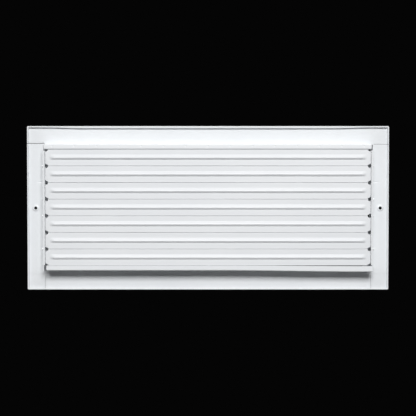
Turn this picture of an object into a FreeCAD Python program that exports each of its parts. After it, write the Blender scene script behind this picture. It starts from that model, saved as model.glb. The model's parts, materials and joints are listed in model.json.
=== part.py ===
import FreeCAD, Part
import math
import os
from FreeCAD import Vector

# Steel wall register for a 20 x 8 in duct: folded frame, seven linked shutters, fixed room-side fins.
# Millimetres. X runs along the length, Z up, -Y faces the duct, +Y faces the room.

# frame
halfLength = 279.4
halfHeight = 126.4
frameSheet = 0.8
rimDepth = 3.4
hemDepth = 2.4
neckHalf = 252.4
neckTop = 98.0
neckBottom = -96.2
neckDepth = 24.6
lowWallDepth = 24.1
topLip = 7.6
lowLip = 8.7
lowLeftEnd = 247.2
lowWallRight = 246.6
topLipEnds = (-250.6, 249.4)
sideSeam = 98.6
# wall screws
screwX = 266.7
screwHoleR = 2.4
dimpleR = 5.0
dimpleDepth = 1.2
seatDepth = 0.7
# shutters
shutterCount = 7
pitch = 25.4
shutterMid = 1.2
bladeSheet = 0.5
bladeHalf = 244.2
bladeRise = 14.0
bladeDrop = 12.1
bladeTilt = 1.85
flare = 0.1
flareRise = 2.0
beadHalf = 241.6
beadRise = 3.85
beadHeight = 2.5
beadShift = 0.65
pivotY = -18.5
faceSet = 4.8
earX = 248.0
earRise = 11.0
earReach = 9.0
earFoot = 4.5
tabCut = 3.0
# pins and link
pivotR = 2.0
runFit = 0.06
collarR = 2.9
crankArm = 8.0
crankAngle = 42.5
crankR = 1.2
linkX = 249.0
linkWidth = 5.0
linkEnd = 4.0
# side brackets and rivets
bracketX = 250.8
bracketBack = -24.4
bracketLipX = 249.0
bracketLipTop = 88.4
bracketFront = -6.5
stubR = 1.5
rivetR = 1.2
rivetHeadR = 2.6
# lever
leverX = 247.0
leverWidth = 5.0
leverReach = 42.0
knobFrom = 34.0
knobTo = 44.0
leverRivetAt = (6.1, -2.2)
footR = 3.0
hubR = 5.0
hubShift = 2.0
slotHalf = 22.5
slotX = (245.2, 249.6)
# fins
finCount = 13
finPitch = 14.6
finMid = 0.8
finSheet = 0.9
finChord = 5.4
finTilt = 30.0
finY = -1.0
finRailX = 240.0
finRailWeb = -3.4
finRailLeg = -6.0
stayHalfWidth = 2.0
stayY = (-4.4, -3.6)


def block(x, y, z):
    # axis-aligned bar between two values on each axis
    corner = Vector(min(x), min(y), min(z))
    return Part.makeBox(abs(x[1] - x[0]), abs(y[1] - y[0]), abs(z[1] - z[0]), corner)


def prism(points, x):
    # closed outline of (y, z) points drawn out along X
    ring = [Vector(x[0], y, z) for y, z in points]
    face = Part.Face(Part.makePolygon(ring + ring[:1]))
    return face.extrude(Vector(x[1] - x[0], 0, 0))


def rod(radius, x, y, z):
    # round bar along X
    return Part.makeCylinder(radius, x[1] - x[0], Vector(x[0], y, z), Vector(1, 0, 0))


def fuse(pieces):
    whole = pieces[0]
    for piece in pieces[1:]:
        whole = whole.fuse(piece)
    return whole.removeSplitter()


def mirrored(shape):
    return shape.mirror(Vector(0, 0, 0), Vector(1, 0, 0))


def save(shape, name):
    shape.exportStep("parts/" + name + ".step")


def pivotZ(index):
    return shutterMid + pitch * ((shutterCount - 1) / 2 - index)


def crankOffset():
    angle = math.radians(crankAngle)
    return crankArm * math.cos(angle), crankArm * math.sin(angle)


def sideHem(low, high):
    # folded-back strip inside an upright rim
    x = (halfLength - 2 * frameSheet, halfLength - frameSheet)
    return block(x, (-rimDepth, hemDepth - rimDepth), (low, high))


def topRail():
    t = frameSheet
    flange = block((-halfLength, halfLength), (0, t), (sideSeam, halfHeight))
    inner = block((-neckHalf, neckHalf), (0, t), (neckTop - t, sideSeam))
    rim = block((-halfLength, halfLength), (-rimDepth, t), (halfHeight - t, halfHeight))
    hemSpan = (t - halfLength, halfLength - t)
    hem = block(hemSpan, (-rimDepth, hemDepth - rimDepth), (halfHeight - 2 * t, halfHeight - t))
    endRim = block((halfLength - t, halfLength), (-rimDepth, t), (sideSeam, halfHeight))
    endRim = fuse([endRim, sideHem(sideSeam, halfHeight - t)])
    wall = block((-neckHalf, neckHalf), (-neckDepth, t), (neckTop - t, neckTop))
    lip = block(topLipEnds, (-neckDepth, t - neckDepth), (neckTop - topLip, neckTop))
    return fuse([flange, inner, rim, hem, endRim, mirrored(endRim), wall, lip])


def bottomRail():
    # the box wall stops short of the side walls, so that its corners can fold
    t = frameSheet
    flange = block((-neckHalf, neckHalf), (0, t), (-halfHeight, neckBottom))
    rim = block((-neckHalf, neckHalf), (-rimDepth, t), (-halfHeight, t - halfHeight))
    hemSpan = (2 * t - neckHalf, neckHalf - 2 * t)
    hem = block(hemSpan, (-rimDepth, hemDepth - rimDepth), (t - halfHeight, 2 * t - halfHeight))
    wall = block((-lowLeftEnd, lowWallRight), (-lowWallDepth, t), (neckBottom, neckBottom + t))
    lipSpan = (-lowLeftEnd, neckHalf - 2 * t)
    lip = block(lipSpan, (-lowWallDepth, t - lowWallDepth), (neckBottom, neckBottom + lowLip))
    return fuse([flange, rim, hem, wall, lip])


def dimple():
    # pressed cone round a screw hole, standing toward the duct
    down = Vector(0, -1, 0)
    cone = Part.makeCone(dimpleR, dimpleR - dimpleDepth, dimpleDepth, Vector(screwX, 0, 0), down)
    start = Vector(screwX, frameSheet, 0)
    seat = Part.makeCone(dimpleR, screwHoleR, seatDepth, start, down)
    hole = Part.makeCylinder(screwHoleR, 4 * dimpleDepth, start, down)
    return cone, fuse([seat, hole])


def wallRivetSpots():
    spots = [(finRailWeb + 0.2, finMid + rise) for rise in (-76.2, 0.0, 76.2)]
    for step in (-2.5, -0.5, 0.5, 2.5):
        spots.append((bracketBack + 3.0, shutterMid + pitch * step))
    return spots


def sideRail():
    t = frameSheet
    flange = block((neckHalf, halfLength), (0, t), (-halfHeight, sideSeam))
    rim = block((halfLength - t, halfLength), (-rimDepth, t), (-halfHeight, sideSeam))
    foot = block((neckHalf, halfLength), (-rimDepth, t), (-halfHeight, t - halfHeight))
    footX = (neckHalf + t, halfLength - t)
    footHem = block(footX, (-rimDepth, hemDepth - rimDepth), (t - halfHeight, 2 * t - halfHeight))
    hem = sideHem(t - halfHeight, sideSeam - t)
    wall = block((neckHalf - t, neckHalf), (-neckDepth, t), (neckBottom, neckTop - t))
    cone, hole = dimple()
    rail = fuse([flange, rim, foot, hem, footHem, wall, cone]).cut(hole)
    for y, z in wallRivetSpots():
        rail = rail.cut(rod(rivetR, (neckHalf - 2 * t, neckHalf + t), y, z))
    return rail


def shutterBracket():
    t = frameSheet
    zSpan = (neckBottom + t, neckTop - t)
    plate = block((bracketX, bracketX + t), (bracketBack, bracketFront), zSpan)
    lipSpan = (neckBottom + lowLip + t, bracketLipTop)
    lip = block((bracketLipX, bracketX + t), (bracketBack, bracketBack + t), lipSpan)
    plate = fuse([plate, lip])
    for index in range(shutterCount):
        plate = plate.cut(rod(stubR, (bracketX, bracketX + t), pivotY, pivotZ(index)))
    for y, z in wallRivetSpots():
        plate = plate.cut(rod(rivetR, (bracketX, bracketX + t), y, z))
    return plate


def finBar(index, x):
    middle = finMid + finPitch * (index - (finCount - 1) / 2)
    half = finChord / 2
    bar = block(x, (finY - half, finY + half), (middle - finSheet / 2, middle + finSheet / 2))
    bar.rotate(Vector(0, finY, middle), Vector(1, 0, 0), -finTilt)
    return bar


def finRail(withSlot):
    t = frameSheet
    zSpan = (neckBottom + t, neckTop - t)
    front = block((finRailX, neckHalf - t), (0, t), zSpan)
    web = block((finRailX, finRailX + t), (finRailWeb, t), zSpan)
    leg = block((bracketX, neckHalf - t), (finRailLeg, t), zSpan)
    rail = fuse([front, web, leg])
    for index in range(finCount):
        rail = rail.cut(finBar(index, (finRailX - 1, finRailX + t)))
    for y, z in wallRivetSpots():
        rail = rail.cut(rod(rivetR, (bracketX, bracketX + t), y, z))
    if withSlot:
        middle = pivotZ(shutterCount // 2)
        rail = rail.cut(block(slotX, (-1, 2), (middle - slotHalf, middle + slotHalf)))
    return rail


def finStay():
    top = finMid + finPitch * (finCount - 1) / 2 + 3
    bottom = finMid - finPitch * (finCount - 1) / 2 - 3
    bar = block((-stayHalfWidth, stayHalfWidth), (stayY[0], finY), (bottom, top))
    back = block((-stayHalfWidth, stayHalfWidth), stayY, (bottom, top))
    fins = fuse([finBar(index, (-3, 3)) for index in range(finCount)])
    return back.fuse(bar.common(back)).cut(fins).removeSplitter()


def wallRivets():
    heads = []
    for y, z in wallRivetSpots():
        shaft = rod(rivetR, (bracketX, neckHalf), y, z)
        outer = rod(rivetHeadR, (neckHalf, neckHalf + 0.7), y, z)
        inner = rod(rivetHeadR - 0.6, (bracketX - 0.5, bracketX), y, z)
        heads.append(fuse([shaft, outer, inner]))
    return Part.makeCompound(heads)


def pivotPins():
    pins = []
    for index in range(shutterCount):
        z = pivotZ(index)
        shaft = rod(pivotR, (earX - 0.8, bracketX), pivotY, z)
        collar = rod(collarR, (linkX, bracketX), pivotY, z)
        stub = rod(stubR, (bracketX, bracketX + frameSheet), pivotY, z)
        pins.append(fuse([shaft, collar, stub]))
    return Part.makeCompound(pins)


def beadShape(grow, depth, span, z):
    # round pressing seen from its end, drawn out along X
    rise = beadRise - grow
    y = pivotY - depth
    crest = Vector(-span, y - beadHeight, z)
    arc = Part.Arc(Vector(-span, y, z + rise), crest, Vector(-span, y, z - rise)).toShape()
    back = y + bladeSheet / 2
    corners = [Vector(-span, y, z - rise), Vector(-span, back, z - rise)]
    corners += [Vector(-span, back, z + rise), Vector(-span, y, z + rise)]
    face = Part.Face(Part.Wire([arc] + Part.makePolygon(corners).Edges))
    return face.extrude(Vector(2 * span, 0, 0))


def shutterEar(z, withCrank):
    y = pivotY
    near = y - faceSet - bladeSheet / 2
    shoulder = earRise - tabCut
    outline = [(near, z - shoulder), (near, z + shoulder), (near + tabCut, z + earRise)]
    outline += [(y + earReach, z + earReach), (y + earReach, z - earFoot)]
    outline += [(y + earFoot, z - earRise), (near + tabCut, z - earRise)]
    ear = prism(outline, (earX, earX + bladeSheet))
    ear = ear.cut(rod(pivotR + runFit, (earX - 1, earX + 1), y, z))
    if withCrank:
        dy, dz = crankOffset()
        ear = ear.cut(rod(crankR - 0.2, (earX - 1, earX + 1), y + dy, z + dz))
    return ear


def shutterBlade(index):
    z = pivotZ(index)
    back = pivotY - faceSet + bladeSheet / 2
    front = back - bladeSheet
    knee = z - bladeDrop + flareRise
    foot = z - bladeDrop
    outline = [(back, z + bladeRise), (front, z + bladeRise), (front, knee), (front - flare, foot)]
    outline += [(back - flare, foot), (back, knee)]
    plate = prism(outline, (-bladeHalf, bladeHalf))
    middle = z + beadShift
    plate = plate.fuse(beadShape(0, faceSet + bladeSheet / 2, beadHalf, middle))
    hollow = beadShape(bladeSheet, faceSet - bladeSheet / 2, beadHalf - bladeSheet, middle)
    plate = plate.cut(hollow)
    plate.rotate(Vector(0, pivotY - faceSet, z), Vector(1, 0, 0), -bladeTilt)
    tabEnd = earX + bladeSheet
    tab = block((bladeHalf - 2 * tabCut, tabEnd), (front, back), (z - earRise, z + earRise))
    corner = block((tabEnd - tabCut, tabEnd + 1), (front - 1, back + 1), (-tabCut, tabCut))
    for side in (-1, 1):
        nib = corner.copy()
        nib.rotate(Vector(tabEnd, 0, 0), Vector(0, 1, 0), 45)
        nib.translate(Vector(0, 0, z + side * earRise))
        tab = tab.cut(nib)
    ends = [tab.fuse(shutterEar(z, True)), mirrored(tab.fuse(shutterEar(z, False)))]
    blade = fuse([plate] + ends)
    if index == shutterCount // 2:
        rivetY = pivotY + leverRivetAt[0]
        blade = blade.cut(rod(rivetR - 0.2, (earX - 1, earX + 1), rivetY, z + leverRivetAt[1]))
    return blade


def crankPin(index):
    dy, dz = crankOffset()
    y = pivotY + dy
    z = pivotZ(index) + dz
    inside = leverX if index == shutterCount // 2 else earX
    stub = rod(crankR - 0.2, (inside, earX + bladeSheet), y, z)
    tail = rod(rivetHeadR - 0.7, (inside - 0.5, inside), y, z)
    shaft = rod(crankR, (earX + bladeSheet, bracketX - 0.35), y, z)
    head = rod(rivetHeadR - 0.6, (bracketX - 0.7, bracketX - 0.35), y, z)
    return fuse([stub, tail, shaft, head])


def linkBar():
    dy, dz = crankOffset()
    y = pivotY + dy
    low = pivotZ(shutterCount - 1) + dz - linkEnd
    high = pivotZ(0) + dz + linkEnd
    xSpan = (linkX, linkX + frameSheet)
    bar = block(xSpan, (y - linkWidth / 2, y + linkWidth / 2), (low, high))
    for index in range(shutterCount):
        bar = bar.cut(rod(crankR + runFit, (linkX - 1, linkX + 2), y, pivotZ(index) + dz))
    return bar


def turned(shape, z):
    shape.rotate(Vector(0, pivotY, z), Vector(1, 0, 0), crankAngle)
    return shape


def lever():
    z = pivotZ(shutterCount // 2)
    xSpan = (leverX, earX)
    half = leverWidth / 2
    arm = block(xSpan, (pivotY, pivotY + leverReach), (z - half, z + half))
    hub = rod(hubR, xSpan, pivotY + hubShift, z)
    plate = turned(fuse([arm, hub]), z)
    foot = rod(footR, xSpan, pivotY + leverRivetAt[0], z + leverRivetAt[1])
    plate = fuse([plate, foot])
    dy, dz = crankOffset()
    plate = plate.cut(rod(pivotR + runFit, xSpan, pivotY, z))
    plate = plate.cut(rod(crankR - 0.2, xSpan, pivotY + dy, z + dz))
    return plate.cut(rod(rivetR - 0.2, xSpan, pivotY + leverRivetAt[0], z + leverRivetAt[1]))


def leverKnob():
    z = pivotZ(shutterCount // 2)
    middle = (leverX + earX) / 2
    body = block((middle - 2.5, middle + 2.5), (pivotY + knobFrom, pivotY + knobTo), (z - 4, z + 4))
    body = body.makeFillet(1.2, body.Edges)
    half = leverWidth / 2
    pocket = block((leverX, earX), (pivotY, pivotY + leverReach), (z - half, z + half))
    return turned(body.cut(pocket), z)


def leverRivet():
    y = pivotY + leverRivetAt[0]
    z = pivotZ(shutterCount // 2) + leverRivetAt[1]
    shaft = rod(rivetR - 0.2, (leverX, earX + bladeSheet), y, z)
    head = rod(rivetHeadR - 0.7, (leverX - 0.5, leverX), y, z)
    return fuse([shaft, head])


def main():
    os.makedirs("parts", exist_ok=True)
    save(topRail(), "top_rail")
    save(bottomRail(), "bottom_rail")
    pairs = [("side_rail", sideRail()), ("shutter_bracket", shutterBracket())]
    pairs += [("wall_rivets", wallRivets()), ("pivot_pins", pivotPins())]
    for name, shape in pairs:
        save(shape, "right_" + name)
        save(mirrored(shape), "left_" + name)
    save(finRail(True), "right_fin_rail")
    save(mirrored(finRail(False)), "left_fin_rail")
    for index in range(finCount):
        span = finRailX + frameSheet
        save(finBar(index, (-span, span)), "fin_%02d" % (index + 1))
    save(finStay(), "fin_stay")
    for index in range(shutterCount):
        save(shutterBlade(index), "shutter_%d" % (index + 1))
        save(crankPin(index), "crank_pin_%d" % (index + 1))
    save(linkBar(), "link_bar")
    save(lever(), "lever")
    save(leverKnob(), "lever_knob")
    save(leverRivet(), "lever_rivet")


main()
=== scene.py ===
import bpy
import bmesh
import json
import math
import numpy as np
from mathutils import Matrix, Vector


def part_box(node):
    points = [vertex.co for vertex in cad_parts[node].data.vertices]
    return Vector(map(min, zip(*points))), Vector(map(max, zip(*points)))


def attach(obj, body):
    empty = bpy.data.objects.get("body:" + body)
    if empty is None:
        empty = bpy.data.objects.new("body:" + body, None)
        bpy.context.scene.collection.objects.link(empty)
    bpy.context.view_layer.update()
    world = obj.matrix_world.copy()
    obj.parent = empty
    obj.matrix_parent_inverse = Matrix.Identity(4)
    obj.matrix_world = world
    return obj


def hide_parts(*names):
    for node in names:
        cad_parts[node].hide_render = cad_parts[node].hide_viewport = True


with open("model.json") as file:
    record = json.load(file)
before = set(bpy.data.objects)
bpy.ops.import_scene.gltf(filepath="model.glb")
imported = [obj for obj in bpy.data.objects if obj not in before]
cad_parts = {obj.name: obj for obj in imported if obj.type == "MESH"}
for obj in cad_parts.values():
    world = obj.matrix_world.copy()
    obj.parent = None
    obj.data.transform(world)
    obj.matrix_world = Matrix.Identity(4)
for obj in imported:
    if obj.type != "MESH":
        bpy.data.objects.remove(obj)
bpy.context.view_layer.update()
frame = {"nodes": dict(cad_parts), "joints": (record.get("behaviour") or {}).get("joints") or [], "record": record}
nodes = frame["nodes"]
print("frame loaded:", len(nodes), "nodes")

mm = 0.001
topLow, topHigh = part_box("top_rail")
lowLow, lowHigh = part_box("bottom_rail")
bracketLow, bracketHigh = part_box("right_shutter_bracket")
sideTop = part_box("right_side_rail")[1].z / mm
halfLength = topHigh.x / mm
halfHeight = topHigh.z / mm
finishing = {"sharpAngle": 38, "bevel": 0.12, "bevelAngle": 50}  # shared by all the sheet pieces


def gridFaces(rows, cols, start=0):
    # quads between neighbouring points of a rows x cols grid numbered row by row
    index = start + np.arange(rows * cols).reshape(rows, cols)
    corners = [index[:-1, :-1], index[1:, :-1], index[1:, 1:], index[:-1, 1:]]
    return np.stack([c.ravel() for c in corners], axis=1)


def sheetShell(front, back, wrap=False):
    # a closed sheet: two grids of points, the same size, joined round their border
    rows, cols = front.shape[:2]
    count = rows * cols
    points = np.concatenate([front.reshape(-1, 3), back.reshape(-1, 3)])
    faces = [gridFaces(rows, cols), gridFaces(rows, cols, count)[:, ::-1]]
    index = np.arange(count).reshape(rows, cols)
    if wrap:
        borders = [index[:, 0], index[:, -1]]
        seam = np.stack([index[-1, :-1], index[0, :-1], index[0, 1:], index[-1, 1:]], axis=1)
        faces += [seam, seam[:, ::-1] + count]
        borders = [np.append(edge, edge[0]) for edge in borders]
    else:
        borders = [np.concatenate([index[0], index[1:, -1], index[-1, -2::-1], index[-2::-1, 0]])]
    for edge in borders:
        faces.append(np.stack([edge[:-1], edge[1:], edge[1:] + count, edge[:-1] + count], axis=1))
    return points, np.concatenate(faces)


def foldLine(corners, bends, steps=6):
    # a 2-D line through the corners, each inner corner turned by an arc of its own radius;
    # gives points and normals
    corners = np.asarray(corners, float)
    runs = np.diff(corners, axis=0)
    ways = runs / np.linalg.norm(runs, axis=1)[:, None]
    points, normals = [corners[0]], [np.array([-ways[0][1], ways[0][0]])]
    for corner, radius, before, after in zip(corners[1:-1], bends, ways[:-1], ways[1:]):
        turn = math.atan2(before[0] * after[1] - before[1] * after[0], before @ after)
        side = math.copysign(1.0, turn)
        leg = radius * math.tan(abs(turn) / 2)
        normal = np.array([-before[1], before[0]])
        centre = corner - before * leg + normal * side * radius
        for share in np.linspace(0, 1, steps + 1):
            angle = turn * share
            spun = np.array([normal[0] * math.cos(angle) - normal[1] * math.sin(angle),
                             normal[0] * math.sin(angle) + normal[1] * math.cos(angle)])
            points.append(centre - spun * side * radius)
            normals.append(spun)
    points.append(corners[-1])
    normals.append(np.array([-ways[-1][1], ways[-1][0]]))
    return np.array(points), np.array(normals)


def splitLong(points, normals, longest):
    # adds evenly spaced points to the long straight runs of a fold line
    outPoints, outNormals = [points[:1]], [normals[:1]]
    for a, b, m, n in zip(points[:-1], points[1:], normals[:-1], normals[1:]):
        parts = max(1, math.ceil(np.linalg.norm(b - a) / longest))
        share = np.linspace(0, 1, parts + 1)[1:, None]
        outPoints.append(a + (b - a) * share)
        outNormals.append(m + (n - m) * share)
    return np.concatenate(outPoints), np.concatenate(outNormals)


def smooth(x, low, high):
    # 0 below low, 1 above high, an S curve between them
    t = np.clip((x - low) / (high - low), 0, 1)
    return t * t * (3 - 2 * t)


def addPiece(name, shells, body, replaced, finish, edge=finishing["bevel"]):
    # joins closed shells, given in millimetres, into one finished piece
    points, faces, start = [], [], 0
    for shellPoints, shellFaces in shells:
        points.append(shellPoints)
        faces.append(shellFaces + start)
        start += len(shellPoints)
    points, faces = np.concatenate(points) * mm, np.concatenate(faces)
    mesh = bpy.data.meshes.new(name)
    mesh.from_pydata(points.tolist(), [], faces.tolist())
    shape = bmesh.new()
    shape.from_mesh(mesh)
    bmesh.ops.recalc_face_normals(shape, faces=shape.faces)
    shape.to_mesh(mesh)
    shape.free()
    mesh.polygons.foreach_set("use_smooth", np.ones(len(mesh.polygons), bool))
    mesh.set_sharp_from_angle(angle=math.radians(finishing["sharpAngle"]))
    piece = bpy.data.objects.new(name, mesh)
    bpy.context.scene.collection.objects.link(piece)
    mesh.materials.append(finish)
    if edge:
        bevel = piece.modifiers.new("cutEdges", "BEVEL")
        bevel.width = edge * mm
        bevel.segments = 2
        bevel.limit_method = "ANGLE"
        bevel.angle_limit = math.radians(finishing["bevelAngle"])
        bevel.harden_normals = True
    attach(piece, body)
    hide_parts(*replaced)
    return piece


enamel = {
    "colour": (0.835, 0.856, 0.876),
    "shade": (0.805, 0.828, 0.852),
    "cloudScale": 7.0,
    "speckColour": (0.42, 0.41, 0.40),
    "speckScale": 26.0,
    "speckSize": (0.012, 0.022),
    "speckStrength": 0.16,
    "roughness": (0.40, 0.50),
    "driftScale": 38.0,
    "peelScale": 620.0,
    "peelDepth": 0.00003,
    "peelStrength": 0.5,
    "coat": (0.12, 0.25),  # weight and roughness of the clear skin
}
zinc = {
    "colour": (0.60, 0.61, 0.62),
    "pale": (0.74, 0.75, 0.77),
    "roughness": (0.24, 0.42),
    "spangle": 240.0,
    "lineScale": 900.0,
    "lineStretch": (1.0, 1.0, 0.04),
    "lineDepth": 0.00003,
    "lineStrength": 0.25,
}
knob = {
    "colour": (0.80, 0.80, 0.78),
    "roughness": (0.42, 0.6),
    "grain": 1500.0,
    "grainDepth": 0.00004,
    "grainStrength": 0.4,
}


def newMaterial(name):
    material = bpy.data.materials.new(name)
    material.use_nodes = True
    tree = material.node_tree
    return material, tree, tree.nodes["Principled BSDF"], addNode(tree, "TexCoord")


def addNode(tree, kind, values=None, sources=None):
    # a shader node with set values, and sources given as {input: (node, output)}
    node = tree.nodes.new("ShaderNode" + kind)
    if kind == "Mix":
        node.data_type = "RGBA"
    for socket, value in (values or {}).items():
        node.inputs[socket].default_value = value
    wireUp(tree, node, sources or {})
    return node


def wireUp(tree, node, sources):
    for socket, (source, output) in sources.items():
        tree.links.new(source.outputs[output], node.inputs[socket])


def enamelPaint(name, colour, shade, seed):
    # baked enamel: faint clouding, fine orange peel, roughness that drifts, dust settled in small pits
    material, tree, shader, place = newMaterial(name)
    offset = (seed * 1.7, seed * 0.9, seed * 2.3)
    shift = addNode(tree, "Mapping", {"Location": offset}, {"Vector": (place, "Object")})
    here = {"Vector": (shift, "Vector")}
    clouds = addNode(tree, "TexNoise", {"Scale": enamel["cloudScale"], "Detail": 4.0, "Roughness": 0.55}, here)
    ramp = addNode(tree, "MapRange", {"From Min": 0.35, "From Max": 0.7}, {"Value": (clouds, "Fac")})
    tint = addNode(tree, "Mix", {"A": (*colour, 1), "B": (*shade, 1)}, {"Factor": (ramp, "Result")})
    specks = addNode(tree, "TexVoronoi", {"Scale": enamel["speckScale"]}, here)
    small, large = enamel["speckSize"]
    fade = {"From Min": small, "From Max": large, "To Min": enamel["speckStrength"], "To Max": 0.0}
    mask = addNode(tree, "MapRange", fade, {"Value": (specks, "Distance")})
    mixed = {"A": (tint, "Result"), "Factor": (mask, "Result")}
    speckled = addNode(tree, "Mix", {"B": (*enamel["speckColour"], 1)}, mixed)
    drift = addNode(tree, "TexNoise", {"Scale": enamel["driftScale"], "Detail": 3.0}, here)
    low, high = enamel["roughness"]
    spread = {"From Min": 0.3, "From Max": 0.7, "To Min": low, "To Max": high}
    dull = addNode(tree, "MapRange", spread, {"Value": (drift, "Fac")})
    peel = addNode(tree, "TexNoise", {"Scale": enamel["peelScale"], "Detail": 2.0}, here)
    depth = {"Strength": enamel["peelStrength"], "Distance": enamel["peelDepth"]}
    bump = addNode(tree, "Bump", depth, {"Height": (peel, "Fac")})
    shader.inputs["Coat Weight"].default_value, shader.inputs["Coat Roughness"].default_value = enamel["coat"]
    wireUp(tree, shader, {"Base Color": (speckled, "Result")})
    wireUp(tree, shader, {"Roughness": (dull, "Result"), "Normal": (bump, "Normal")})
    return material


def zincPlate(name):
    # bright zinc plate: small crystal patches and fine rolling lines that break up the gloss
    material, tree, shader, place = newMaterial(name)
    crystals = addNode(tree, "TexVoronoi", {"Scale": zinc["spangle"]}, {"Vector": (place, "Object")})
    grey = addNode(tree, "RGBToBW", None, {"Color": (crystals, "Color")})
    tint = addNode(tree, "Mix", {"A": (*zinc["colour"], 1), "B": (*zinc["pale"], 1)}, {"Factor": (grey, "Val")})
    stretch = addNode(tree, "Mapping", {"Scale": zinc["lineStretch"]}, {"Vector": (place, "Object")})
    lines = addNode(tree, "TexNoise", {"Scale": zinc["lineScale"]}, {"Vector": (stretch, "Vector")})
    low, high = zinc["roughness"]
    dull = addNode(tree, "MapRange", {"To Min": low, "To Max": high}, {"Value": (lines, "Fac")})
    depth = {"Strength": zinc["lineStrength"], "Distance": zinc["lineDepth"]}
    bump = addNode(tree, "Bump", depth, {"Height": (lines, "Fac")})
    shader.inputs["Metallic"].default_value = 1.0
    wireUp(tree, shader, {"Base Color": (tint, "Result")})
    wireUp(tree, shader, {"Roughness": (dull, "Result"), "Normal": (bump, "Normal")})
    return material


def mouldedPlastic(name):
    # satin moulded plastic: even colour with a fine spark-eroded grain
    material, tree, shader, place = newMaterial(name)
    shader.inputs["Base Color"].default_value = (*knob["colour"], 1)
    grain = addNode(tree, "TexNoise", {"Scale": knob["grain"], "Detail": 3.0}, {"Vector": (place, "Object")})
    low, high = knob["roughness"]
    dull = addNode(tree, "MapRange", {"To Min": low, "To Max": high}, {"Value": (grain, "Fac")})
    depth = {"Strength": knob["grainStrength"], "Distance": knob["grainDepth"]}
    bump = addNode(tree, "Bump", depth, {"Height": (grain, "Fac")})
    wireUp(tree, shader, {"Roughness": (dull, "Result"), "Normal": (bump, "Normal")})
    return material


framePaint = enamelPaint("framePaint", enamel["colour"], enamel["shade"], 0.0)
finPaint = enamelPaint("finPaint", enamel["colour"], enamel["shade"], 3.0)
zincSteel = zincPlate("zincSteel")
knobPlastic = mouldedPlastic("knobPlastic")
finishOf = {
    "frame_paint": framePaint,
    "fin_paint": finPaint,
    "zinc_steel": zincSteel,
    "knob_plastic": knobPlastic,
}
for part in frame["record"]["subparts"]:
    finish = finishOf.get(part["material_slot"])
    if finish:
        for each in nodes[part["node"]].material_slots:
            each.material = finish
print("finishes made")


rail = {
    "sheet": 0.8,
    "bend": 1.0,
    "cornerRadius": 1.8,
    "rimEdge": -3.4,
    "hemInset": 1.8,  # everywhere round the rim
    "hemReturn": 2.6,
    "hemTurn": 0.22,
    "wideHem": 3.0,  # along the middle of the top edge, closing towards both ends
    "wideHemEnd": 252.0,
    "wideHemTaper": 60.0,
    "wideHemPower": 0.5,
    "wideHemClear": 0.1,  # keeps its closed ends inside the plain hem
    "seamGap": 0.45,
    "leftSeam": (1.2, 0.35),  # how much higher and how much more open the left-hand joint stands
    "wave": 0.05,
    "waveLengths": (61.0, 37.0, 23.0, 19.0),
    "dartHeights": (40.0, -97.4),
    "dartLength": 16.0,
    "dartDepth": 0.7,
    "dartHalf": 0.6,
    "lapHeight": -101.4,
    "lapDepth": 0.3,
    "weldSpacing": 34.0,
    "weldRadius": 1.4,
    "weldDepth": 0.3,
    "weldDrop": 2.4,  # from the neck's top wall down to the marks
    "weldClear": 12.0,  # from the ends of the lip
    "weldsEachSide": 7,
    "topRoll": (1.2, 0.5),  # height and depth of the rolled-over cut edge of the top lip
    "topLean": 0.5,  # the top lip's free edge stands further out than its fold
    "lowBow": (1.13, -1.95, 20.0, 240.0),  # the low wall sits high on the left and sags past the middle
}
neck = {
    "side": bracketHigh.x / mm + rail["sheet"],
    "topMid": bracketHigh.z / mm + rail["sheet"] / 2,
    "lowMid": bracketLow.z / mm - rail["sheet"] / 2,
    "topDepth": -topLow.y / mm,
    "lowDepth": -lowLow.y / mm,
    "lipTop": 90.4,
    "topLipEnds": (-250.4, 249.4),
    "lowLipEnds": (-247.2, 250.8),
    "lowWallRelief": 4.2,
    "lowLean": 0.6,
    "lowLipRise": 0.2,
    "lipLow": lowHigh.z / mm,
    "lipZone": 1.3,  # depth of the zone taken as lip, from the front of the neck
    "bowFade": 12.0,
    "bend": 0.8,
    "lipBend": 1.1,
}
wallBend = neck["bend"] - 0.01  # the bend just clears the end of its own straight run


def flangeRelief(x, z):
    # slow waves of the sheet, the short creased darts beside the neck, and the lap step near the foot
    longX, longZ, shortX, shortZ = rail["waveLengths"]
    wave = np.sin(x / longX + 1.1) * np.cos(z / longZ) + 0.6 * np.sin(x / shortX - z / shortZ)
    lift = rail["wave"] * wave
    away = np.abs(x) - neck["side"]
    for height in rail["dartHeights"]:
        ridge = np.exp(-((z - height) / rail["dartHalf"]) ** 2)
        length = smooth(rail["dartLength"] - away, 0, rail["dartLength"]) * (away > -1)
        lift = lift - rail["dartDepth"] * ridge * length
    lap = smooth(z, rail["lapHeight"] - 0.3, rail["lapHeight"] + 0.3) * (away > 0)
    return lift + rail["lapDepth"] * (lap - 0.5)


def shares(start, end, longest, features=()):
    # even steps between two values, with close steps about each feature that lies between them
    even = np.linspace(0, 1, max(1, math.ceil(abs(end - start) / longest)) + 1)
    close = [(height + np.arange(-2.4, 2.41, 0.4) - start) / (end - start) for height in features]
    every = np.unique(np.round(np.concatenate([even] + close), 6))
    return every[(every >= 0) & (every <= 1)]


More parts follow.
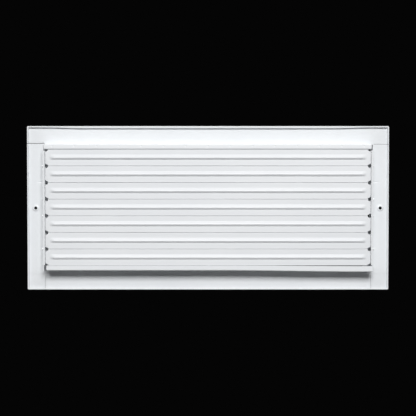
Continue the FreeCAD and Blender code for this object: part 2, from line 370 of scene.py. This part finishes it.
def ringGrid(corners, profile, longest=6.0, cornerSteps=8):
    # carries a rim profile of (inset, y) round an outline; corners are (x, z) with open ends, the inset goes to
    # the left of the way walked, and an outer corner of set radius tightens with the inset
    inset, depth = profile[:, 0], profile[:, 1]
    corners = np.asarray(corners, float)
    runs = np.diff(corners, axis=0)
    ways = runs / np.linalg.norm(runs, axis=1)[:, None]
    lefts = np.stack([-ways[:, 1], ways[:, 0]], axis=1)
    radius = np.maximum(rail["cornerRadius"] - inset, 0.15)
    rows = []
    for k, (way, left) in enumerate(zip(ways, lefts)):
        a = corners[k] + left * inset[:, None]
        b = corners[k + 1] + left * inset[:, None]
        if k > 0:
            a = a + way * (inset + radius)[:, None]
        if k < len(ways) - 1:
            b = b - way * (inset + radius)[:, None]
        upright = abs(way[1]) > 0.5
        ends = (corners[k][1], corners[k + 1][1]) if upright else (0, np.linalg.norm(runs[k]))
        features = (*rail["dartHeights"], rail["lapHeight"]) if upright else ()
        for share in shares(*ends, longest, features):
            rows.append(a + (b - a) * share)
        if k < len(ways) - 1:
            centre = b + left * radius[:, None]
            nextLeft = lefts[k + 1]
            for angle in np.linspace(0, math.pi / 2, cornerSteps + 1)[1:-1]:
                spoke = left * math.cos(angle) + nextLeft * math.sin(angle)
                rows.append(centre - spoke * radius[:, None])
    flat = np.stack(rows)
    grid = np.empty(flat.shape[:2] + (3,))
    grid[..., 0], grid[..., 2] = flat[..., 0], flat[..., 1]
    grid[..., 1] = depth[None, :]
    return grid


def relieved(grid):
    grid = grid.copy()
    grid[..., 1] -= flangeRelief(grid[..., 0], grid[..., 2])
    return grid


def ringShell(corners, foldCorners, bends, longest=6.0, step=5.0):
    # a folded profile, given by its middle line, carried round an outline as a closed sheet
    line, normal = splitLong(*foldLine(foldCorners, bends), step)
    half = rail["sheet"] / 2
    return sheetShell(relieved(ringGrid(corners, line + normal * half, longest)),
                      relieved(ringGrid(corners, line - normal * half, longest)))


def rimFold(innerInset):
    # from the folded-back strip over the rim's crest to the flange, as (inset, y)
    half = rail["sheet"] / 2
    crest = rail["rimEdge"] + half
    strip, turn = rail["hemInset"], rail["hemTurn"]
    tail = (strip, rail["rimEdge"] + rail["hemReturn"])
    return [tail, (strip, crest), (half, crest), (half, half), (innerInset, half)], [turn, turn, rail["bend"]]


def straightFold(foldCorners, bends, axis, low, high, longest, step, features=()):
    # a folded profile carried straight along X or Z; the fold is in the other axis and y
    line, normal = splitLong(*foldLine(foldCorners, bends), step)
    stations = low + (high - low) * shares(low, high, longest, features)
    grids = []
    for side in (0.5, -0.5):
        edge = line + normal * rail["sheet"] * side
        grid = np.empty((len(stations), len(edge), 3))
        other = 2 if axis == 0 else 0
        grid[..., axis] = stations[:, None]
        grid[..., other] = edge[None, :, 0]
        grid[..., 1] = edge[None, :, 1]
        grids.append(grid)
    return grids


def wideHem():
    # the fuller fold along the top edge: a squarish crest, cos and sin each to a set power, and its return,
    # closing flat towards both ends
    half = rail["sheet"] / 2
    end = rail["wideHemEnd"]
    stations = np.linspace(-end, end, 121)
    closing = smooth(end - np.abs(stations), 0, rail["wideHemTaper"])
    closed = rail["hemInset"] - rail["wideHemClear"]
    inner = closed + (rail["wideHem"] - closed) * closing
    angle = np.linspace(0, math.pi, 17)
    wide = np.sign(np.cos(angle)) * np.abs(np.cos(angle)) ** rail["wideHemPower"]
    high = np.abs(np.sin(angle)) ** rail["wideHemPower"]
    grids = []
    for side in (half, -half):
        reach = (inner - half)[:, None] / 2 + side
        across = (inner + half)[:, None] / 2 - reach * wide
        out = rail["rimEdge"] + 0.9 - (0.5 + side) * high * np.ones_like(across)
        tail = np.full((len(stations), 1), rail["rimEdge"] + rail["hemReturn"])
        grid = np.empty((len(stations), len(angle) + 1, 3))
        grid[..., 0] = stations[:, None]
        grid[..., 1] = np.concatenate([out, tail], axis=1)
        grid[..., 2] = halfHeight - np.concatenate([across, across[:, -1:]], axis=1)
        grids.append(grid)
    return sheetShell(*grids)


def weldMarks(x, z, centreZ):
    # depth of a row of shallow round marks pressed into the lip
    along = (x / rail["weldSpacing"] + 0.5) % 1.0 - 0.5
    radius = np.hypot(along * rail["weldSpacing"], z - centreZ)
    inside = np.abs(x) < neck["side"] - rail["weldClear"]
    return rail["weldDepth"] * smooth(rail["weldRadius"] - radius, 0, rail["weldRadius"] / 2) * inside


def topRail():
    half = rail["sheet"] / 2
    seam = sideTop + rail["seamGap"] / 2
    leftSeam = seam + sum(rail["leftSeam"])
    outline = [(halfLength, seam), (halfLength, halfHeight), (-halfLength, halfHeight), (-halfLength, leftSeam)]
    shells = [ringShell(outline, *rimFold(halfHeight - seam)), wideHem()]
    face = half - neck["topDepth"]
    mid = neck["topMid"]
    fold = [(seam, half), (mid, half), (mid, face + rail["topLean"]), (neck["lipTop"], face)]
    end = neck["side"] - 0.1
    marks = np.arange(-rail["weldsEachSide"], rail["weldsEachSide"] + 1) * rail["weldSpacing"]
    grids = straightFold(fold, [neck["bend"], neck["lipBend"]], 0, -end, end, 6.0, 0.8, marks)
    for grid in grids:
        x, y, z = grid[..., 0].copy(), grid[..., 1].copy(), grid[..., 2].copy()
        onLip = y < face + neck["lipZone"]
        grid[..., 0] = np.where(onLip, np.clip(x, *neck["topLipEnds"]), x)
        grid[..., 1] += weldMarks(x, z, mid - rail["weldDrop"]) * onLip
        rollHeight, rollDepth = rail["topRoll"]
        grid[..., 1] += rollDepth * smooth(neck["lipTop"] + rollHeight - z, 0, rollHeight) * (y < face)
        grid[..., 1] -= flangeRelief(x, z) * (z > mid + 0.5)
    shells.append(sheetShell(*grids))
    addPiece("topRail", shells, "register_frame", ["top_rail"], framePaint)


def bottomRail():
    # the box wall follows a slow curve in x: level, then sagging past the middle; its ends are cut back
    half = rail["sheet"] / 2
    end = neck["side"] + 0.1
    start = neck["lowMid"] - neck["bend"]
    shells = [ringShell([(-end, -halfHeight), (end, -halfHeight)], *rimFold(halfHeight + start))]
    face = half - neck["lowDepth"]
    mid = neck["lowMid"]
    fold = [(start, half), (mid, half), (mid, face), (neck["lipLow"], face + neck["lowLean"])]
    left, right = neck["lowLipEnds"]
    grids = straightFold(fold, [wallBend, neck["lipBend"]], 0, left, right, 4.0, 1.5)
    rise, sag, sagFrom, sagTo = rail["lowBow"]
    for grid in grids:
        x, y, z = grid[..., 0].copy(), grid[..., 1].copy(), grid[..., 2].copy()
        bow = smooth(x, sagFrom, sagTo)
        onLip = y < face + neck["lipZone"]
        grid[..., 0] = np.where(onLip, x, np.minimum(x, right - neck["lowWallRelief"]))
        up = np.clip((z - mid) / (neck["lipLow"] - mid), 0, 1) * onLip
        level = rise * (1 - up) + neck["lowLipRise"] * up
        grid[..., 2] += (level * (1 - bow) + (rise + sag) * bow) * smooth(-y, 0, neck["bowFade"])
    shells.append(sheetShell(*grids))
    addPiece("bottomRail", shells, "register_frame", ["bottom_rail"], framePaint)


screwHole = {"fromEnd": 12.7, "radius": 2.4, "coneRadius": 5.0, "coneDepth": 1.2, "patchReach": 11.0}


def holePatch(centreX, reach):
    # a square of flange round a screw hole: spokes from the hole to the square, with the pressed cone between
    holeRadius, coneRadius = screwHole["radius"], screwHole["coneRadius"]
    angle = np.linspace(0, 2 * math.pi, 97)[:-1]
    square = reach / np.maximum(np.abs(np.cos(angle)), np.abs(np.sin(angle)))
    share = np.concatenate([np.linspace(0, 0.5, 12), np.linspace(0.5, 1, 5)[1:]])
    inner = holeRadius + (coneRadius + 1.5 - holeRadius) * np.minimum(share * 2, 1)
    radius = inner[None, :] + (square[:, None] - coneRadius - 1.5) * np.maximum(share * 2 - 1, 0)[None, :]
    cone = screwHole["coneDepth"] * smooth(coneRadius + 0.8 - radius, 0, coneRadius + 0.2 - holeRadius)
    grids = []
    for y in (rail["sheet"], 0.0):
        grid = np.empty(radius.shape + (3,))
        grid[..., 0] = centreX + radius * np.cos(angle)[:, None]
        grid[..., 2] = radius * np.sin(angle)[:, None]
        grid[..., 1] = y - cone
        grids.append(relieved(grid))
    return sheetShell(*grids, wrap=True)


def sideRail(side):
    half = rail["sheet"] / 2
    # side is 1 for the right-hand rail; the left-hand one is drawn on the right and mirrored
    seam = sideTop - rail["seamGap"] / 2 + (rail["leftSeam"][0] if side < 0 else 0)
    innerEdge = neck["side"] + neck["bend"] - half
    reach = screwHole["patchReach"]
    screwX = halfLength - screwHole["fromEnd"]
    fold = rimFold(halfLength - innerEdge)
    corner = [(neck["side"] + 0.5, -halfHeight), (halfLength, -halfHeight), (halfLength, -reach)]
    shells = [ringShell(corner, *fold, 3.0, 1.5)]
    shells.append(ringShell([(halfLength, reach), (halfLength, seam)], *fold, 3.0, 1.5))
    besideHole = [(halfLength, -reach), (halfLength, reach)]
    shells.append(ringShell(besideHole, *rimFold(halfLength - screwX - reach), 3.0))
    strip = straightFold([(screwX - reach, half), (innerEdge, half)], [], 2, -reach, reach, 3.0, 2.0)
    shells.append(sheetShell(*[relieved(grid) for grid in strip]))
    shells.append(holePatch(screwX, reach))
    wallX = neck["side"] - half
    wall = [(innerEdge, half), (wallX, half), (wallX, -neck["topDepth"])]
    low, high = neck["lowMid"] - half, neck["topMid"] - half
    shells.append(sheetShell(*straightFold(wall, [wallBend], 2, low, high, 4.0, 3.0)))
    if side < 0:
        shells = [(points * (-1, 1, 1), faces[:, ::-1]) for points, faces in shells]
    name = "right" if side > 0 else "left"
    addPiece(name + "SideRail", shells, "register_frame", [name + "_side_rail"], framePaint)


topRail()
bottomRail()
sideRail(1)
sideRail(-1)
print("rails folded")


shutter = {
    "sheet": 0.5,
    "faceEnd": 244.2,
    "rise": 14.0,
    "drop": 12.1,
    "set": 4.8,
    "tilt": 1.85,
    "beadUpper": 4.5,  # height of the bead's upper and lower flanks
    "beadLower": 3.2,
    "beadHeight": 2.4,
    "beadShift": 0.1,
    "beadPower": 1.35,
    "beadEnd": 243.0,
    "beadFade": 9.0,
    "flare": 0.1,
    "flareRise": 1.6,
    "tabRise": 11.0,
    "tabRound": 2.6,
    "cornerRound": 1.6,
    "earX": 248.45,
    "earBend": 0.7,
    "earReach": 9.0,
    "earTaper": (8.5, 13.5),  # depth from the bend where the ear starts to narrow and where it has
    "earTips": (9.0, 4.5),  # its reach above and below the pivot at the tip
    "notchReach": 3.0,
    "notchPower": 1.6,
    "wave": 0.08,
    "waves": ((83.0, 1.9, 0.6), (31.0, -2.7, 0.3)),  # length, shift from shutter to shutter, share
    "rowBands": ((-1.0, -0.82, 5), (-0.82, -0.36, 5), (-0.36, 0.36, 29), (0.36, 1.0, 6)),
    "edgeSteps": (1.4, 0.9, 0.5, 0.15, 0.0, -0.05),  # close stations before the end of the face
    "closeFrom": 230.0,
    "bevel": 0.08,
    # both shutter tones are a little lighter than the frame's enamel: painted light, making up for the fill light
    # the recessed blades get less of than the flange
    "colour": (0.85, 0.867, 0.888),
    "shade": (0.82, 0.84, 0.865),
}


def shutterPath():
    # half of a shutter's length: along the face, round the bend, along the ear; gives (x, y) and the way out
    earTip = shutter["set"] + shutter["earReach"]
    line, normal = foldLine([(0, 0), (shutter["earX"], 0), (shutter["earX"], earTip)], [shutter["earBend"]], 6)
    end, steps, close = shutter["faceEnd"], np.array(shutter["edgeSteps"]), shutter["closeFrom"]
    stations = np.concatenate([np.linspace(0, close, 39)[:-1], np.linspace(close, end - steps[0], 22),
                               end - steps[1:]])
    flat = np.stack([stations, np.zeros_like(stations)], axis=1)
    ear, earNormal = splitLong(line[1:], normal[1:], 1.2)
    return np.concatenate([flat, ear]), np.concatenate([np.tile([0.0, 1.0], (len(stations), 1)), earNormal])


def shutterRise(path, upper):
    # how far the sheet reaches above or below the pivot line: the face with small round corners, then the tab
    # and ear, whose edge dips in a round notch at the bend between them
    x, y = path[:, 0], path[:, 1]
    full, small = shutter["rise"] if upper else shutter["drop"], shutter["cornerRound"]
    left = small - np.clip(shutter["faceEnd"] - x, 0, small)
    face = full - small + np.sqrt(np.maximum(small ** 2 - left ** 2, 0))
    rise = shutter["tabRise"]
    ear = np.interp(y, [0, *shutter["earTaper"]], [rise, rise, shutter["earTips"][0 if upper else 1]])
    away = np.maximum(shutter["earX"] - x, 0) + np.maximum(y, 0)
    near = np.clip(1.05 - away / shutter["notchReach"], 0, 1)
    tab = ear - shutter["tabRound"] * near ** shutter["notchPower"]
    return np.where(x > shutter["faceEnd"] + 0.02, tab, face)


def shutterRelief(x, z, number):
    # pressed bead with soft run-outs, the small flare of the lower edge, and the slow bow of thin sheet
    off = z - shutter["beadShift"]
    across = np.where(off > 0, off / shutter["beadUpper"], -off / shutter["beadLower"])
    bead = shutter["beadHeight"] * np.clip(1 - across ** shutter["beadPower"], 0, 1)
    fade = smooth(shutter["beadEnd"] - np.abs(x), 0, shutter["beadFade"])
    foot = shutter["flareRise"] - shutter["drop"]
    onFace = np.abs(x) < shutter["faceEnd"] + 0.1
    flare = shutter["flare"] * smooth(foot - z, 0, shutter["flareRise"])
    bow = sum(part * np.sin(x / length + number * turn) for length, turn, part in shutter["waves"])
    return bead * fade + (flare + shutter["wave"] * bow) * onFace


def shutterSheet(number, pivotY, pivotZ):
    path, normal = shutterPath()
    path = np.concatenate([path[:0:-1] * (-1, 1), path])
    normal = np.concatenate([normal[:0:-1] * (-1, 1), normal])
    top, low = shutterRise(np.abs(path), True), shutterRise(np.abs(path), False)
    share = np.unique(np.concatenate([np.linspace(*band) for band in shutter["rowBands"]]))
    z = np.where(share[None, :] > 0, share[None, :] * top[:, None], share[None, :] * low[:, None])
    x = np.repeat(path[:, :1], len(share), axis=1)
    y = np.repeat(path[:, 1:], len(share), axis=1)
    onFace = (np.abs(x) < shutter["faceEnd"] + 3.0) & (y < 0.01)
    lift = shutterRelief(x, z, number) * onFace
    slope = np.zeros_like(z)
    slope[:, 1:-1] = (lift[:, 2:] - lift[:, :-2]) / np.maximum(z[:, 2:] - z[:, :-2], 1e-6)
    lean = 1 / np.sqrt(1 + slope ** 2)
    tilt = math.radians(shutter["tilt"])
    grids = []
    for side in (0.5, -0.5):
        off = shutter["sheet"] * side
        grid = np.empty(z.shape + (3,))
        outward = np.where(onFace, lean, 1.0)
        grid[..., 0] = x + normal[:, :1] * off
        faceY = y - lift + normal[:, 1:] * off * outward
        faceZ = z + off * slope * lean * onFace
        # tilt of the whole face about its own middle line, easing out towards the ears
        ease = 1 - smooth(np.abs(x), shutter["faceEnd"] - 0.6, shutter["faceEnd"] + 1.5)
        grid[..., 1] = pivotY - shutter["set"] + faceY + faceZ * math.sin(tilt) * ease
        grid[..., 2] = pivotZ + faceZ
        grids.append(grid)
    return sheetShell(*grids)


def shutters():
    # the shutter enamel is lightened as painted light for the recessed blades
    paint = enamelPaint("shutterPaintLightened", shutter["colour"], shutter["shade"], 5.0)
    for joint in frame["joints"]:
        if not joint["child"].startswith("shutter_body_"):
            continue
        number = int(joint["child"].rsplit("_", 1)[1])
        pivot = [v / mm for v in joint["pos_m"]]
        shell = shutterSheet(number, pivot[1], pivot[2])
        name = "shutter_%d" % number
        addPiece("shutterSheet%d" % number, [shell], joint["child"], [name], paint,
                 shutter["bevel"])


shutters()
print("shutters pressed")


fin = {"sheet": 0.9, "chord": 5.4, "tilt": 30.0, "middleY": -1.0, "end": 240.8, "bow": 0.12}


def finBlade(number, middleZ):
    # a flat bar with rounded edges, drawn along X and turned about its own middle
    half, thick = fin["chord"] / 2, fin["sheet"] / 2
    angle = np.linspace(0, 2 * math.pi, 33)
    along = (half - thick) * np.sign(np.cos(angle)) * (np.abs(np.cos(angle)) > 1e-6) + thick * np.cos(angle)
    up = thick * np.sin(angle)
    tilt = math.radians(fin["tilt"])
    stations = np.linspace(-fin["end"], fin["end"], 33)
    bow = fin["bow"] * np.sin(stations / 97.0 + number * 1.3)
    y = fin["middleY"] + along * math.cos(tilt) + up * math.sin(tilt)
    z = middleZ - along * math.sin(tilt) + up * math.cos(tilt)
    ring = np.empty((len(stations), len(angle) - 1, 3))
    ring[..., 0] = stations[:, None]
    ring[..., 1] = y[None, :-1]
    ring[..., 2] = z[None, :-1] + bow[:, None]
    count = ring.shape[1]
    index = np.arange(ring.shape[0] * count).reshape(ring.shape[:2])
    around = np.concatenate([index, index[:, :1]], axis=1)
    sides = [around[:-1, :-1], around[1:, :-1], around[1:, 1:], around[:-1, 1:]]
    faces = [np.stack([c.ravel() for c in sides], axis=1)]
    points = ring.reshape(-1, 3)
    for row in (index[0], index[-1]):
        # each end is closed by quads that share a point in its middle
        edge, centre = np.append(row, row[0]), np.full(count // 2, len(points))
        points = np.concatenate([points, points[row].mean(0)[None]])
        faces.append(np.stack([edge[:-1:2], edge[1::2], edge[2::2], centre], axis=1))
    return points, np.concatenate(faces)


def fins():
    for name in sorted(n for n in nodes if n.startswith("fin_") and n[4:].isdigit()):
        low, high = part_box(name)
        number = int(name[4:])
        blade = finBlade(number, (low.z + high.z) / 2 / mm)
        addPiece("finBlade%02d" % number, [blade], "register_frame", [name], finPaint, 0)


fins()
print("fins drawn")


studio = {
    "floorDrop": -0.85,
    "floorX": (-2.0, 2.0),
    "floorY": (-0.4, 2.0),
    "floorColour": (0.72, 0.72, 0.71, 1),
    "key": {"azimuth": 2.5, "elevation": 31.0, "distance": 5.0, "size": (2.2, 1.55), "power": 259.0},
    "rear": {"azimuth": 186.0, "elevation": 62.0, "distance": 3.0, "size": (1.6, 1.0), "power": 34.0},
    "rightSide": {"azimuth": 98.0, "elevation": 20.0, "distance": 2.4, "size": (0.9, 0.9), "power": 9.0},
    "leftSide": {"azimuth": 262.0, "elevation": 20.0, "distance": 2.4, "size": (0.9, 0.9), "power": 9.0},
    "ambient": 0.0015,
    "distance": 1.60,
    "elevation": 1.6,
    "frameWidth": 0.6446,
}


def softLight(name):
    # a rectangular light aimed at the middle of the register from an azimuth and elevation
    spec = studio[name]
    light = bpy.data.lights.new(name, "AREA")
    light.shape = "RECTANGLE"
    light.size, light.size_y = spec["size"]
    light.energy = spec["power"]
    lamp = bpy.data.objects.new(name, light)
    bpy.context.scene.collection.objects.link(lamp)
    around, up = math.radians(spec["azimuth"]), math.radians(spec["elevation"])
    way = np.array([math.sin(around) * math.cos(up), -math.cos(around) * math.cos(up), math.sin(up)])
    lamp.location = way * spec["distance"]
    lamp.rotation_euler = (math.pi / 2 - up, 0, around)


def floorAndLight():
    # a wide pale floor well under the hung register
    x, y = np.meshgrid(np.linspace(*studio["floorX"], 9), np.linspace(*studio["floorY"], 9), indexing="ij")
    points = np.stack([x, y, np.full_like(x, studio["floorDrop"])], axis=-1).reshape(-1, 3)
    mesh = bpy.data.meshes.new("floor")
    mesh.from_pydata(points.tolist(), [], gridFaces(9, 9).tolist())
    floor = bpy.data.objects.new("floor", mesh)
    bpy.context.scene.collection.objects.link(floor)
    pale = bpy.data.materials.new("paleFloor")
    pale.use_nodes = True
    shader = pale.node_tree.nodes["Principled BSDF"]
    shader.inputs["Base Color"].default_value = studio["floorColour"]
    shader.inputs["Roughness"].default_value = 0.9
    mesh.materials.append(pale)
    for name in ("key", "rear", "rightSide", "leftSide"):
        softLight(name)
    world = bpy.data.worlds.new("studio")
    world.use_nodes = True
    world.node_tree.nodes["Background"].inputs["Color"].default_value = (1, 1, 1, 1)
    world.node_tree.nodes["Background"].inputs["Strength"].default_value = studio["ambient"]
    bpy.context.scene.world = world


def camera():
    lens = bpy.data.cameras.new("camera")
    lens.lens = lens.sensor_width * studio["distance"] / studio["frameWidth"]
    eye = bpy.data.objects.new("camera", lens)
    bpy.context.scene.collection.objects.link(eye)
    up = math.radians(studio["elevation"])
    eye.location = (0, -studio["distance"] * math.cos(up), studio["distance"] * math.sin(up))
    eye.rotation_euler = (math.pi / 2 - up, 0, 0)
    bpy.context.scene.camera = eye


floorAndLight()
camera()
bpy.context.scene.view_settings.view_transform = "Standard"
print("studio set")
